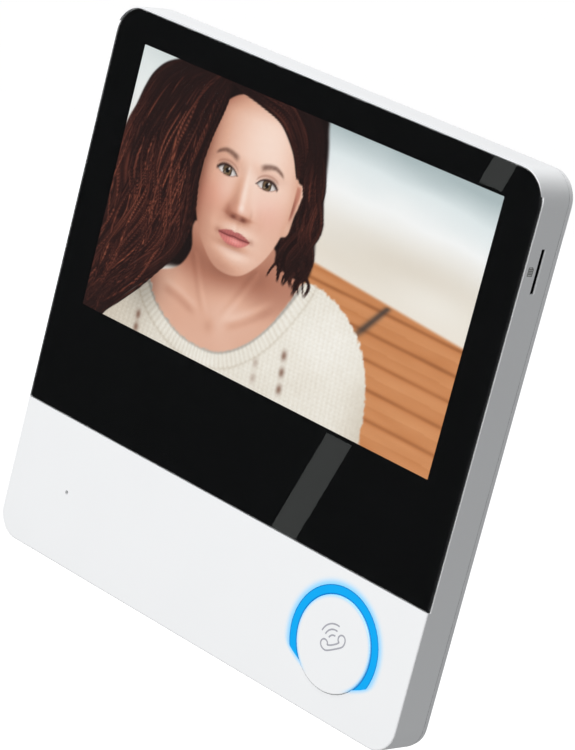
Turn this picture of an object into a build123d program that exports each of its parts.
"""Wall-mounted video intercom monitor with a 7-inch screen, as an assembly of its separate pieces.

Every piece is drawn as the wall sees it: X to the right, Y up the wall and Z out of the wall, with
Z = 0 on the wall itself. export() then stands it up, so that +Z is up and the screen faces -Y.
The origin is the centre of the wall bracket's screw pattern, on the wall. All sizes are millimetres.
"""

import os

from build123d import *

# Body
WIDTH = 181.2
HEIGHT = 179.5
TOP_CORNER_R = 9.5
BOTTOM_CORNER_R = 8.5
FRONT_Z = 18.2
BACK_Z = 3.4
COVER_RIM_T = 2.0
COVER_T = 1.6
SEAM_GAP = 0.2
WALL_T = 2.0
REAR_BEVEL = 0.4
PANEL_TOP_Y = -43.25
PANEL_T = 2.0
EDGE_FILLET = 0.5

# Cover glass and the plate behind it
GLASS_T = 1.0
GLASS_INSET = 0.3
GLASS_GAP = 0.15
GLASS_CHAMFER = 0.15
TAPE_T = 0.3
TOP_LEDGE = 0.6
FRAME_T = 2.0
GLASS_BACK_Z = FRONT_Z - GLASS_T
TAPE_BACK_Z = GLASS_BACK_Z - TAPE_T
FRAME_BACK_Z = TAPE_BACK_Z - FRAME_T

# Display module: a 7-inch 16:9 panel
SCREEN_W = 154.08
SCREEN_H = 85.92
SCREEN_Y = 36.0
MODULE_W = 165.0
MODULE_H = 100.0
MODULE_Y = 34.3
MODULE_FRONT_Z = 16.8
MODULE_BACK_Z = 12.9
CELL_BACK_Z = 14.8
CELL_FRONT_Z = 16.4
CELL_FACE_Z = 17.1
CELL_FACE_BORDER = 0.9
MODULE_GAP = 0.3
SHEET_T = 0.3
TRAY_RIM = 2.3
TRAY_FLOOR = 0.5
BRACKET_T = 0.8
BRACKET_BACK_Z = MODULE_BACK_Z - BRACKET_T

# Call button
BUTTON_X = 59.5
BUTTON_Y = -66.25
CAP_R = 14.9
CAP_PROUD = 0.3
CAP_T = 2.1
CAP_BACK_Z = 14.0
BORE_R = 15.05
RING_R = 17.9
RING_BACK_Z = 14.9
RING_END_UP = 18.9
RING_END_R = 30.9
PLUNGER_R = 1.7
PLUNGER_TOP_Z = 13.3
BUTTON_TRAVEL = 0.6

# Boards
BOARD_BACK_Z = 6.9
BOARD_T = 1.6
BOARD_FRONT_Z = BOARD_BACK_Z + BOARD_T
BUTTON_BOARD_Z = 9.6
BUTTON_BOARD_T = 1.2

# Memory-card slot in the right side
SLOT_Y = 61.1
SLOT_Z = 11.0
SLOT_LENGTH = 13.2
SLOT_WIDTH = 1.3

# Microphone and speaker
MIC_X = -63.5
MIC_Y = -66.35
MIC_HOLE_R = 0.65
SPEAKER_X = -10.0
SPEAKER_Y = -66.0
SPEAKER_R = 18.0
SPEAKER_BACK_Z = 5.0
BASKET_R = 15.9
CLAMP_T = 0.8

# Wall bracket
PLATE_T = 1.2
PLATE_W = 116.0
PLATE_H = 100.0
CABLE_W = 42.0
CABLE_H = 40.0
WALL_HOLE_R = 2.25
WALL_HOLES_X = 100.0
WALL_HOLES_Y = 88.0
BOX_SLOTS_X = 60.0
BOX_SLOT_LENGTH = 8.0
BOX_SLOT_WIDTH = 4.2
HOOK_X = 44.0
HOOK_Y = 34.0
HOOK_W = 12.0
HOOK_REACH_Z = 6.5
HOOK_FINGER = 5.0
LIFT = 6.5

# Fasteners: shank and pilot radii
SCREW_R = 1.13
PILOT_R = 1.15
SMALL_SCREW_R = 0.88
SMALL_PILOT_R = 0.9
SMALL_HEAD_R = 1.9
SMALL_HEAD_H = 1.0

COVER_SCREWS = [(x, y) for y in (76.0, -22.0, -80.0) for x in (-86.0, 86.0)]
COVER_BOSS_R = 2.85
COVER_BORE_DEPTH = 1.2
EAR_SCREWS = [(x, y) for y in (-5.0, 40.0) for x in (-85.9, 85.9)]
BOARD_SCREWS = [(-38.0, 68.0), (66.0, 68.0), (-38.0, -8.0), (74.0, -8.0)]
BUTTON_SCREWS = [(BUTTON_X + dx, BUTTON_Y + dy) for dx in (-19.2, 19.2) for dy in (-15.7, 15.7)]
SPEAKER_SCREW_R = 20.5
SPEAKER_ANGLES = (90, 210, 330)
WIRE_R = 0.6
RIBBON_T = 0.3

# Sockets on the main board's rear
DOOR_SOCKETS_X = (-13.5, 1.0)
POWER_SOCKET_X = 14.5
SOCKETS_Y = -4.0
SOCKET_D = 5.8
SOCKET_Z = 3.8
SOCKET_FLOOR_Z = 5.9
PIN_LOW_Z = 4.3
PIN_PITCH = 2.5


def slab(sketch, low, high):
    """A flat sketch as a solid between two heights above the wall."""
    return extrude(Pos(0, 0, low) * sketch, high - low)


def disc(x, y, radius, low, high):
    """A round solid that stands off the wall."""
    return slab(Pos(x, y) * Circle(radius), low, high)


def block(x_low, x_high, y_low, y_high, low, high):
    """A rectangular solid from its limits along each axis."""
    face = Rectangle(x_high - x_low, y_high - y_low)
    return slab(Pos((x_low + x_high) / 2, (y_low + y_high) / 2) * face, low, high)


def centred(x, y, width, height, low, high, corner=0.0):
    """A rectangular solid about a centre, with rounded corners if asked."""
    face = RectangleRounded(width, height, corner) if corner else Rectangle(width, height)
    return slab(Pos(x, y) * face, low, high)


def outline(inset=0.0):
    """The body's rounded outline, moved inwards by inset."""
    face = Rectangle(WIDTH - 2 * inset, HEIGHT - 2 * inset)
    face = fillet(face.vertices().group_by(Axis.Y)[-1], TOP_CORNER_R - inset)
    return fillet(face.vertices().group_by(Axis.Y)[0], BOTTOM_CORNER_R - inset)


def top_plate(half_width, top_y, corner, bottom_y):
    """A plate outline with two rounded upper corners and a straight lower edge."""
    face = Pos(0, (top_y + bottom_y) / 2) * Rectangle(2 * half_width, top_y - bottom_y)
    return fillet(face.vertices().group_by(Axis.Y)[-1], corner)


def screw(x, y, head_r, head_low, head_high, shank_r, tip_z):
    """A pan-head screw whose head lies nearer the wall than its tip, with a cross recess."""
    body = disc(x, y, head_r, head_low, head_high) + disc(x, y, shank_r, head_high, tip_z)
    head = body.edges().filter_by(GeomType.CIRCLE).group_by(Axis.Z)[0]
    body = fillet(head, (head_high - head_low) * 0.35)
    arm = head_r * 1.1
    depth = (head_high - head_low) * 0.5
    for width, height in ((arm, arm * 0.22), (arm * 0.22, arm)):
        body -= centred(x, y, width, height, head_low, head_low + depth)
    return body


def screws(places, head_r, head_low, head_high, shank_r, tip_z):
    """One screw at each place, as separate solids."""
    return Compound(
        children=[screw(x, y, head_r, head_low, head_high, shank_r, tip_z) for x, y in places]
    )


def boss(x, y, radius, low, high, pilot_r, pilot_high):
    """A screw boss and the pilot hole to cut from it."""
    return disc(x, y, radius, low, high), disc(x, y, pilot_r, low, pilot_high)


def ribbon(points, x, width, thickness, bend_r):
    """A flat cable that runs in a plane of constant x, through (y, z) points."""
    strip = trace(FilletPolyline(*points, radius=bend_r), thickness)
    return extrude(Plane.YZ.offset(x - width / 2) * strip, width)


def wire(points, radius, bend_r):
    """A round insulated lead along straight runs joined by arcs."""
    path = FilletPolyline(*points, radius=bend_r)
    return sweep(Plane(path @ 0, z_dir=path % 0) * Circle(radius), path=path)


def ring_face(inner_r, outer_r, end_r, corner):
    """The light ring's face: a band cut off at its lower ends by a large arc."""
    cutter = Pos(0, RING_END_UP) * Circle(end_r)
    face = (Circle(outer_r) & cutter) - Circle(inner_r)
    outer_ends = [v for v in face.vertices() if v.Y < 0 and Vector(v.X, v.Y, 0).length > inner_r + 1.5]
    return Pos(BUTTON_X, BUTTON_Y) * fillet(outer_ends, corner)


def front_housing():
    """The white shell: lower panel, the frame behind the glass, side walls and every boss."""
    rim_z = BACK_Z + COVER_RIM_T + SEAM_GAP
    shell = slab(outline(), rim_z, FRONT_Z)
    seat_side = 0.3
    seat = top_plate(
        WIDTH / 2 + seat_side, HEIGHT / 2 - TOP_LEDGE, TOP_CORNER_R + seat_side, PANEL_TOP_Y
    )
    shell -= slab(seat, TAPE_BACK_Z, FRONT_Z)
    front_edges = shell.edges().group_by(Axis.Z)[-1]
    shell = fillet(front_edges.filter_by(lambda e: e.center().Y < PANEL_TOP_Y - 1), EDGE_FILLET)

    cavity = outline(WALL_T)
    step_y = PANEL_TOP_Y - FRAME_T
    lower = Pos(0, step_y - HEIGHT / 2) * Rectangle(WIDTH, HEIGHT)
    shell -= slab(cavity, rim_z, FRAME_BACK_Z)
    shell -= slab(cavity & lower, FRAME_BACK_Z, FRONT_Z - PANEL_T)
    shell -= module_block(-MODULE_GAP, FRAME_BACK_Z, FRONT_Z)

    pilots = []
    panel_back_z = FRONT_Z - PANEL_T
    for x, y in COVER_SCREWS:
        root_z = FRAME_BACK_Z if y > step_y else panel_back_z
        post, pilot = boss(x, y, COVER_BOSS_R, BACK_Z + COVER_RIM_T, root_z, PILOT_R, 11.5)
        shell += post
        pilots.append(pilot)
    for x, y in EAR_SCREWS:
        post, pilot = boss(x, y, 2.6, MODULE_BACK_Z, FRAME_BACK_Z, SMALL_PILOT_R, FRAME_BACK_Z)
        shell += post
        pilots.append(pilot)
    for x, y in BUTTON_SCREWS:
        board_front_z = BUTTON_BOARD_Z + BUTTON_BOARD_T
        post, pilot = boss(x, y, 2.4, board_front_z, panel_back_z, SMALL_PILOT_R, 14.8)
        shell += post
        pilots.append(pilot)
    shell += disc(MIC_X, MIC_Y, 5.4, 13.0, panel_back_z) - disc(MIC_X, MIC_Y, 4.3, 13.0, panel_back_z)
    for pilot in pilots:
        shell -= pilot

    clear = 0.03
    shell -= disc(BUTTON_X, BUTTON_Y, BORE_R, panel_back_z, FRONT_Z)
    shell -= slab(ring_face(BORE_R - 0.5, RING_R + clear, RING_END_R + clear, 1.0), panel_back_z, FRONT_Z)
    shell -= disc(MIC_X, MIC_Y, MIC_HOLE_R, panel_back_z, FRONT_Z)
    return card_slot(shell)


def card_slot(shell):
    """The shell with the memory-card slot cut through its right wall and bevelled outside."""
    side_x = WIDTH / 2
    half_length = SLOT_LENGTH / 2
    half_width = SLOT_WIDTH / 2
    shell -= block(
        side_x - 2 * WALL_T,
        side_x + 1,
        SLOT_Y - half_length,
        SLOT_Y + half_length,
        SLOT_Z - half_width,
        SLOT_Z + half_width,
    )
    outer = shell.faces().filter_by(Plane.YZ).sort_by(Axis.X)[-1]
    return chamfer(outer.inner_wires()[0].edges(), 0.35)


def cover_glass():
    """The glass plate over the display, with a fine chamfer round its front."""
    face = top_plate(
        WIDTH / 2 - GLASS_INSET,
        HEIGHT / 2 - TOP_LEDGE - GLASS_GAP,
        TOP_CORNER_R,
        PANEL_TOP_Y + GLASS_GAP,
    )
    plate = slab(face, GLASS_BACK_Z, FRONT_Z)
    return chamfer(plate.edges().group_by(Axis.Z)[-1], GLASS_CHAMFER)


def glass_adhesive():
    """Die-cut tape between the glass and the frame."""
    margin = 0.8
    face = top_plate(
        WIDTH / 2 - margin, HEIGHT / 2 - TOP_LEDGE - margin, TOP_CORNER_R - margin, PANEL_TOP_Y + margin
    )
    tape = slab(face, TAPE_BACK_Z, GLASS_BACK_Z)
    return tape - module_block(-MODULE_GAP - 0.2, TAPE_BACK_Z, GLASS_BACK_Z)


def back_cover():
    """The rear plate with its bevelled rim, tongue, hook slots, wiring window and speaker grille."""
    rim_z = BACK_Z + COVER_RIM_T
    inner_z = BACK_Z + COVER_T
    bore_z = BACK_Z + COVER_BORE_DEPTH
    rear = Pos(0, 0, BACK_Z) * outline(REAR_BEVEL)
    front = Pos(0, 0, rim_z) * outline()
    cover = loft([rear.face(), front.face()], ruled=True)
    tongue_gap = 0.15
    tongue_t = 1.2
    tongue_h = 1.3
    tongue = outline(WALL_T + tongue_gap) - outline(WALL_T + tongue_gap + tongue_t)
    rim = slab(tongue, rim_z, rim_z + tongue_h)
    for x, y in COVER_SCREWS:
        rim -= disc(x, y, COVER_BOSS_R + 0.3, rim_z, rim_z + tongue_h)
    cover += rim
    pocket = outline(WALL_T + tongue_gap + tongue_t + 0.8)
    for x, y in COVER_SCREWS:
        pocket -= Pos(x, y) * Circle(COVER_BOSS_R + 1.2)
    cover -= slab(pocket, inner_z, rim_z)
    for x, y in COVER_SCREWS:
        cover -= disc(x, y, 2.4, BACK_Z, bore_z)
        cover -= disc(x, y, 1.4, bore_z, rim_z)
    cover -= centred(0, 0, 60, 40, BACK_Z, inner_z, 3)
    for side in (-HOOK_X, HOOK_X):
        for neck_y in (-HOOK_Y, HOOK_Y):
            low_y = neck_y - PLATE_T - LIFT - 0.5
            cover -= block(side - 6.6, side + 6.6, low_y, neck_y + 0.1, BACK_Z, inner_z)
    slot_pitch = 3.0
    grille_r = 13.0
    for step in range(-3, 4):
        dy = step * slot_pitch
        length = 2 * (grille_r**2 - dy**2) ** 0.5
        face = Pos(SPEAKER_X, SPEAKER_Y + dy) * SlotOverall(length, 1.6)
        cover -= slab(face, BACK_Z, inner_z)
    for x, y in speaker_places():
        boss_top_z = SPEAKER_BACK_Z + 1.8
        cover += disc(x, y, 2.2, inner_z, boss_top_z)
        cover -= disc(x, y, SMALL_PILOT_R, BACK_Z + 0.8, boss_top_z)
    return cover


def wall_bracket():
    """Sheet-steel plate with a cable opening, screw holes and four hooks bent out of it."""
    plate = centred(0, 0, PLATE_W, PLATE_H, 0, PLATE_T, 6)
    plate -= centred(0, 0, CABLE_W, CABLE_H, 0, PLATE_T, 3)
    for x in (-WALL_HOLES_X / 2, WALL_HOLES_X / 2):
        for y in (-WALL_HOLES_Y / 2, WALL_HOLES_Y / 2):
            plate -= disc(x, y, WALL_HOLE_R, 0, PLATE_T)
    for x in (-BOX_SLOTS_X / 2, BOX_SLOTS_X / 2):
        plate -= slab(Pos(x, 0) * SlotOverall(BOX_SLOT_LENGTH, BOX_SLOT_WIDTH), 0, PLATE_T)
    half = HOOK_W / 2
    for x in (-HOOK_X, HOOK_X):
        for y in (-HOOK_Y, HOOK_Y):
            plate -= block(x - half - 0.4, x + half + 0.4, y, y + HOOK_FINGER + 1.5, 0, PLATE_T)
            plate += block(x - half, x + half, y - PLATE_T, y, 0, HOOK_REACH_Z)
            finger_low = HOOK_REACH_Z - PLATE_T
            plate += block(x - half, x + half, y - PLATE_T, y + HOOK_FINGER, finger_low, HOOK_REACH_Z)
    return plate


def module_block(inset, low, high):
    """A rectangular layer of the display module, inset from its outside."""
    return centred(0, MODULE_Y, MODULE_W - 2 * inset, MODULE_H - 2 * inset, low, high)


def screen_window(border, low, high):
    """The screen's visible area, grown by a border."""
    return centred(0, SCREEN_Y, SCREEN_W + 2 * border, SCREEN_H + 2 * border, low, high)


def lcd_gasket():
    """Black foam frame that keeps dust out between the module and the glass."""
    inner = CELL_FACE_BORDER + 0.2
    return screen_window(2.8, MODULE_FRONT_Z, GLASS_BACK_Z) - screen_window(inner, 0, FRONT_Z)


def lcd_bezel():
    """Folded metal frame round the module."""
    bezel = module_block(0, MODULE_BACK_Z, MODULE_FRONT_Z)
    bezel -= module_block(SHEET_T, MODULE_BACK_Z, MODULE_FRONT_Z - SHEET_T)
    return bezel - screen_window(CELL_FACE_BORDER + 0.1, MODULE_BACK_Z, MODULE_FRONT_Z)


def lcd_tray():
    """White plastic tray that holds the light guide and carries the cell on its rim."""
    tray = module_block(SHEET_T, MODULE_BACK_Z, CELL_BACK_Z)
    return tray - module_block(TRAY_RIM, MODULE_BACK_Z + TRAY_FLOOR, CELL_BACK_Z)


def lcd_light_guide():
    """Clear sheet that spreads the backlight."""
    return module_block(TRAY_RIM + 0.1, MODULE_BACK_Z + TRAY_FLOOR, CELL_BACK_Z - 0.1)


def lcd_cell():
    """The liquid-crystal cell, with its front polariser standing just behind the glass."""
    cell = module_block(1.0, CELL_BACK_Z, CELL_FRONT_Z)
    return cell + screen_window(CELL_FACE_BORDER, CELL_FRONT_Z, CELL_FACE_Z)


def lcd_bracket():
    """Sheet-steel plate that clamps the module into the housing by four ears."""
    plate = centred(0, MODULE_Y, MODULE_W - 1, MODULE_H, BRACKET_BACK_Z, MODULE_BACK_Z, 1)
    for x, y in EAR_SCREWS:
        inner_x = 70.0 if x > 0 else -70.0
        plate += block(min(x, inner_x), max(x, inner_x), y - 4, y + 4, BRACKET_BACK_Z, MODULE_BACK_Z)
        plate += disc(x, y, 2.6, BRACKET_BACK_Z, MODULE_BACK_Z)
    for x, y in EAR_SCREWS + BOARD_SCREWS:
        plate -= disc(x, y, 1.1, BRACKET_BACK_Z, MODULE_BACK_Z)
    for x in (-30.0, 32.0):
        plate -= centred(x, 32, 46, 50, BRACKET_BACK_Z, MODULE_BACK_Z, 5)
    return plate


def main_board():
    """The main circuit board, with a tab that reaches the card slot."""
    board = block(-44, 80.5, -30, 74, BOARD_BACK_Z, BOARD_FRONT_Z)
    board += block(80.5, 88.3, 50, 72, BOARD_BACK_Z, BOARD_FRONT_Z)
    for x, y in BOARD_SCREWS:
        board -= disc(x, y, 1.2, BOARD_BACK_Z, BOARD_FRONT_Z)
    return board


def board_standoffs():
    """Threaded spacers between the display bracket and the main board."""
    posts = []
    for x, y in BOARD_SCREWS:
        post = disc(x, y, 2.2, BOARD_FRONT_Z, BRACKET_BACK_Z)
        posts.append(post - disc(x, y, SMALL_PILOT_R, BOARD_FRONT_Z, 11.3))
    return Compound(children=posts)


def shield_can():
    """Folded tin lid over the processor and its memory."""
    low_z = BOARD_BACK_Z - 1.7
    can = block(-6, 34, 28, 66, low_z, BOARD_BACK_Z)
    return can - block(-5.7, 33.7, 28.3, 65.7, low_z + SHEET_T, BOARD_BACK_Z)


def processor():
    """Main processor, on the board's rear under the shield."""
    return centred(8, 47, 15, 15, BOARD_BACK_Z - 1.1, BOARD_BACK_Z)


def memory_chips():
    """Two memory chips beside the processor."""
    chips = [centred(25, y, 9, 13, BOARD_BACK_Z - 1.0, BOARD_BACK_Z) for y in (39, 55)]
    return Compound(children=chips)


def board_capacitors():
    """Three can capacitors on the board's front."""
    places = [(-30, 40), (-22, 40), (-30, 50)]
    cans = [disc(x, y, 2.6, BOARD_FRONT_Z, BOARD_FRONT_Z + 3.0) for x, y in places]
    return Compound(children=cans)


def power_inductor():
    """Shielded inductor of the supply."""
    return centred(-22, 18, 9, 9, BOARD_FRONT_Z, BOARD_FRONT_Z + 2.8, 1.5)


def micro_sd_socket():
    """Raised card socket on the board's front, in line with the slot in the side wall."""
    mouth_x = 88.2
    top_z = SLOT_Z + 0.9
    socket = block(74, mouth_x, SLOT_Y - 7.6, SLOT_Y + 7.6, BOARD_FRONT_Z, top_z)
    card_half = 5.7
    return socket - block(
        75.5, mouth_x, SLOT_Y - card_half, SLOT_Y + card_half, SLOT_Z - 0.5, SLOT_Z + 0.5
    )


def ribbon_connector():
    """Connector of the display ribbon on the main board."""
    return centred(0, -25.5, 34, 4, BOARD_FRONT_Z, BOARD_FRONT_Z + 1.4)


def lcd_ribbon():
    """Flat cable from the display module down to its connector."""
    points = [(-15.7, 13.4), (-19.6, 13.4), (-19.6, 9.2), (-23.5, 9.2)]
    return ribbon(points, 0, 30, RIBBON_T, 1.6)


def socket_shell(x, ways):
    """An open-topped connector shell that faces the wall."""
    width = ways * PIN_PITCH + 2.0
    shell = centred(x, SOCKETS_Y, width, SOCKET_D, SOCKET_Z, BOARD_BACK_Z)
    return shell - centred(x, SOCKETS_Y, width - 1.6, SOCKET_D - 1.6, SOCKET_Z, SOCKET_FLOOR_Z)


def door_sockets():
    """Two four-way sockets for door stations."""
    return Compound(children=[socket_shell(x, 4) for x in DOOR_SOCKETS_X])


def power_socket():
    """Two-way socket for the supply."""
    return socket_shell(POWER_SOCKET_X, 2)


def socket_pins():
    """Contact pins of the three sockets."""
    pins = []
    for x, ways in [(DOOR_SOCKETS_X[0], 4), (DOOR_SOCKETS_X[1], 4), (POWER_SOCKET_X, 2)]:
        for way in range(ways):
            pin_x = x + (way - (ways - 1) / 2) * PIN_PITCH
            pins.append(centred(pin_x, SOCKETS_Y, 0.64, 0.64, PIN_LOW_Z, SOCKET_FLOOR_Z))
    return Compound(children=pins)


def speaker_places():
    """Where the speaker clamp's three screws stand."""
    centre = Vector(SPEAKER_X, SPEAKER_Y)
    places = [centre + Vector(SPEAKER_SCREW_R, 0).rotate(Axis.Z, a) for a in SPEAKER_ANGLES]
    return [(p.X, p.Y) for p in places]


def speaker_disc(radius, low, high):
    """A disc on the speaker's axis, its heights taken from the back cover's inside."""
    return disc(SPEAKER_X, SPEAKER_Y, radius, SPEAKER_BACK_Z + low, SPEAKER_BACK_Z + high)


def speaker_gasket():
    """Foam ring between the speaker and the back cover."""
    return speaker_disc(SPEAKER_R, 0, 0.8) - speaker_disc(15.5, 0, 0.8)


def speaker_basket():
    """Pressed-steel basket that faces the rear grille."""
    basket = speaker_disc(SPEAKER_R, 0.8, 1.8) + speaker_disc(BASKET_R, 1.8, 4.4)
    return basket - speaker_disc(15.5, 0.8, 3.9)


def speaker_cone():
    """Paper cone with its dust cap."""
    cone_t = 0.4
    rear = [(0, 2.5), (4.5, 3.1), (15.45, 0.9)]
    front = [(r, z + cone_t) for r, z in reversed(rear)]
    profile = make_face(Polyline(*rear, *front, close=True))
    return Pos(SPEAKER_X, SPEAKER_Y, SPEAKER_BACK_Z) * revolve(Plane.XZ * profile, Axis.Z)


def speaker_magnet():
    """Ring magnet and yoke, as one can."""
    magnet = speaker_disc(9.5, 4.4, 7.4)
    return fillet(magnet.edges().group_by(Axis.Z)[-1], 0.4)


def speaker_clamp():
    """Ring with three ears that presses the speaker onto its gasket."""
    low_z = SPEAKER_BACK_Z + 1.8
    high_z = low_z + CLAMP_T
    clamp = speaker_disc(18.4, 1.8, 1.8 + CLAMP_T)
    for x, y in speaker_places():
        clamp += disc(x, y, 2.6, low_z, high_z)
    clamp -= speaker_disc(BASKET_R + 0.3, 1.8, 1.8 + CLAMP_T)
    for x, y in speaker_places():
        clamp -= disc(x, y, 1.1, low_z, high_z)
    return clamp


def speaker_screws():
    """Three screws driven from inside, so their heads face the front."""
    seat_z = SPEAKER_BACK_Z + 1.8 + CLAMP_T
    top_z = seat_z + 0.9
    bodies = []
    for x, y in speaker_places():
        body = disc(x, y, SMALL_HEAD_R, seat_z, top_z) + disc(x, y, SMALL_SCREW_R, BACK_Z + 1.0, seat_z)
        body -= centred(x, y, 2.2, 0.5, top_z - 0.5, top_z)
        bodies.append(body - centred(x, y, 0.5, 2.2, top_z - 0.5, top_z))
    return Compound(children=bodies)


def speaker_leads():
    """Two leads from the speaker to the main board's lower edge."""
    start_gap = 0.4
    level = 8.4
    leads = []
    for x in (-16.2, -14.6):
        rim_y = SPEAKER_Y + (BASKET_R**2 - (x - SPEAKER_X) ** 2) ** 0.5 + start_gap
        points = [(x, rim_y, level), (x, -43.5, level), (x - 5, -36.5, level), (x - 5, -30, level)]
        leads.append(wire(points, WIRE_R, 3.0))
    return Compound(children=leads)


def microphone():
    """Electret capsule."""
    return disc(MIC_X, MIC_Y, 3.0, 12.7, 15.4)


def microphone_boot():
    """Rubber boot that seals the capsule against the panel."""
    boot = disc(MIC_X, MIC_Y, 4.25, 12.9, FRONT_Z - PANEL_T)
    boot -= disc(MIC_X, MIC_Y, 3.0, 12.9, 15.4)
    return boot - disc(MIC_X, MIC_Y, 0.8, 15.4, FRONT_Z - PANEL_T)


def microphone_leads():
    """Two leads from the capsule to the main board's left edge."""
    leads = []
    for shift in (0.0, 1.6):
        x = MIC_X - 0.8 + shift
        y = -20.0 - shift
        points = [(x, MIC_Y, 12.7), (x, MIC_Y, 7.7), (x, y, 7.7), (-44, y, 7.7)]
        leads.append(wire(points, WIRE_R, 2.2))
    return Compound(children=leads)


def button_light_ring():
    """Translucent light guide round the cap, glued behind the panel by its flange."""
    panel_back_z = FRONT_Z - PANEL_T
    ring = slab(ring_face(BORE_R, RING_R, RING_END_R, 1.0), RING_BACK_Z, FRONT_Z)
    flange = ring_face(BORE_R, RING_R + 1.6, RING_END_R + 1.5, 1.0)
    return ring + slab(flange, panel_back_z - 0.8, panel_back_z)


def button_cap():
    """Round cap with a skirt, a flange that stops it behind the light ring, and a centre post."""
    top_z = FRONT_Z + CAP_PROUD
    web_z = top_z - CAP_T
    cap = disc(BUTTON_X, BUTTON_Y, CAP_R, CAP_BACK_Z + 0.8, top_z)
    cap = fillet(cap.edges().group_by(Axis.Z)[-1], 0.4)
    cap += disc(BUTTON_X, BUTTON_Y, 16.3, CAP_BACK_Z, CAP_BACK_Z + 0.8)
    cap -= disc(BUTTON_X, BUTTON_Y, 13.7, CAP_BACK_Z, web_z)
    cap += disc(BUTTON_X, BUTTON_Y, 3.0, PLUNGER_TOP_Z, web_z)
    for width, height in ((27.6, 1.0), (1.0, 27.6)):
        cap += centred(BUTTON_X, BUTTON_Y, width, height, web_z - 1.0, web_z)
    return cap


def button_board():
    """Small circuit board behind the button."""
    top_z = BUTTON_BOARD_Z + BUTTON_BOARD_T
    board = centred(BUTTON_X, BUTTON_Y, 44, 37, BUTTON_BOARD_Z, top_z, 2)
    for x, y in BUTTON_SCREWS:
        board -= disc(x, y, 1.1, BUTTON_BOARD_Z, top_z)
    return board


def button_switch():
    """Body of the tactile switch, with the plunger's bore."""
    base_z = BUTTON_BOARD_Z + BUTTON_BOARD_T
    body = centred(BUTTON_X, BUTTON_Y, 6, 6, base_z, 12.4, 0.4)
    return body - disc(BUTTON_X, BUTTON_Y, PLUNGER_R + 0.05, base_z + 0.2, 12.4)


def switch_plunger():
    """Plunger of the switch. Its foot stays in the bore over the whole travel."""
    foot_z = BUTTON_BOARD_Z + BUTTON_BOARD_T + 0.2 + BUTTON_TRAVEL + 0.1
    return disc(BUTTON_X, BUTTON_Y, PLUNGER_R, foot_z, PLUNGER_TOP_Z)


def ring_leds():
    """Six lamps under the light ring."""
    base_z = BUTTON_BOARD_Z + BUTTON_BOARD_T
    lamps = []
    for angle in range(-15, 196, 42):
        lamp = centred(16.9, 0, 1.4, 2.4, base_z, base_z + 1.1)
        lamps.append(Pos(BUTTON_X, BUTTON_Y) * Rot(0, 0, angle) * lamp)
    return Compound(children=lamps)


def button_ribbon():
    """Flat cable from the button board up to the main board."""
    points = [(-52, 9.45), (-41, 9.45), (-35, 8.65), (-25, 8.65)]
    return ribbon(points, BUTTON_X, 8, RIBBON_T, 4.0)


def export(name, piece):
    """Stands a piece up in the object's frame and writes it."""
    export_step(Plane.XZ.location * piece, f"parts/{name}.step")


pieces = {
    "front_housing": front_housing(),
    "cover_glass": cover_glass(),
    "glass_adhesive": glass_adhesive(),
    "back_cover": back_cover(),
    "housing_screws": screws(
        COVER_SCREWS, 2.1, BACK_Z + 0.2, BACK_Z + COVER_BORE_DEPTH, SCREW_R, 11.0
    ),
    "wall_bracket": wall_bracket(),
    "lcd_gasket": lcd_gasket(),
    "lcd_bezel": lcd_bezel(),
    "lcd_cell": lcd_cell(),
    "lcd_light_guide": lcd_light_guide(),
    "lcd_tray": lcd_tray(),
    "lcd_bracket": lcd_bracket(),
    "lcd_bracket_screws": screws(
        EAR_SCREWS, SMALL_HEAD_R, BRACKET_BACK_Z - SMALL_HEAD_H, BRACKET_BACK_Z, SMALL_SCREW_R, 14.5
    ),
    "lcd_ribbon": lcd_ribbon(),
    "ribbon_connector": ribbon_connector(),
    "main_board": main_board(),
    "board_standoffs": board_standoffs(),
    "board_screws": screws(
        BOARD_SCREWS, SMALL_HEAD_R, BOARD_BACK_Z - SMALL_HEAD_H, BOARD_BACK_Z, SMALL_SCREW_R, 10.9
    ),
    "processor": processor(),
    "memory_chips": memory_chips(),
    "shield_can": shield_can(),
    "board_capacitors": board_capacitors(),
    "power_inductor": power_inductor(),
    "micro_sd_socket": micro_sd_socket(),
    "door_sockets": door_sockets(),
    "power_socket": power_socket(),
    "socket_pins": socket_pins(),
    "speaker_basket": speaker_basket(),
    "speaker_magnet": speaker_magnet(),
    "speaker_cone": speaker_cone(),
    "speaker_gasket": speaker_gasket(),
    "speaker_clamp": speaker_clamp(),
    "speaker_screws": speaker_screws(),
    "speaker_leads": speaker_leads(),
    "microphone": microphone(),
    "microphone_boot": microphone_boot(),
    "microphone_leads": microphone_leads(),
    "button_cap": button_cap(),
    "button_light_ring": button_light_ring(),
    "button_board": button_board(),
    "button_switch": button_switch(),
    "switch_plunger": switch_plunger(),
    "ring_leds": ring_leds(),
    "button_board_screws": screws(
        BUTTON_SCREWS,
        SMALL_HEAD_R,
        BUTTON_BOARD_Z - SMALL_HEAD_H,
        BUTTON_BOARD_Z,
        SMALL_SCREW_R,
        14.2,
    ),
    "button_ribbon": button_ribbon(),
}

os.makedirs("parts", exist_ok=True)
for name, piece in pieces.items():
    export(name, piece)
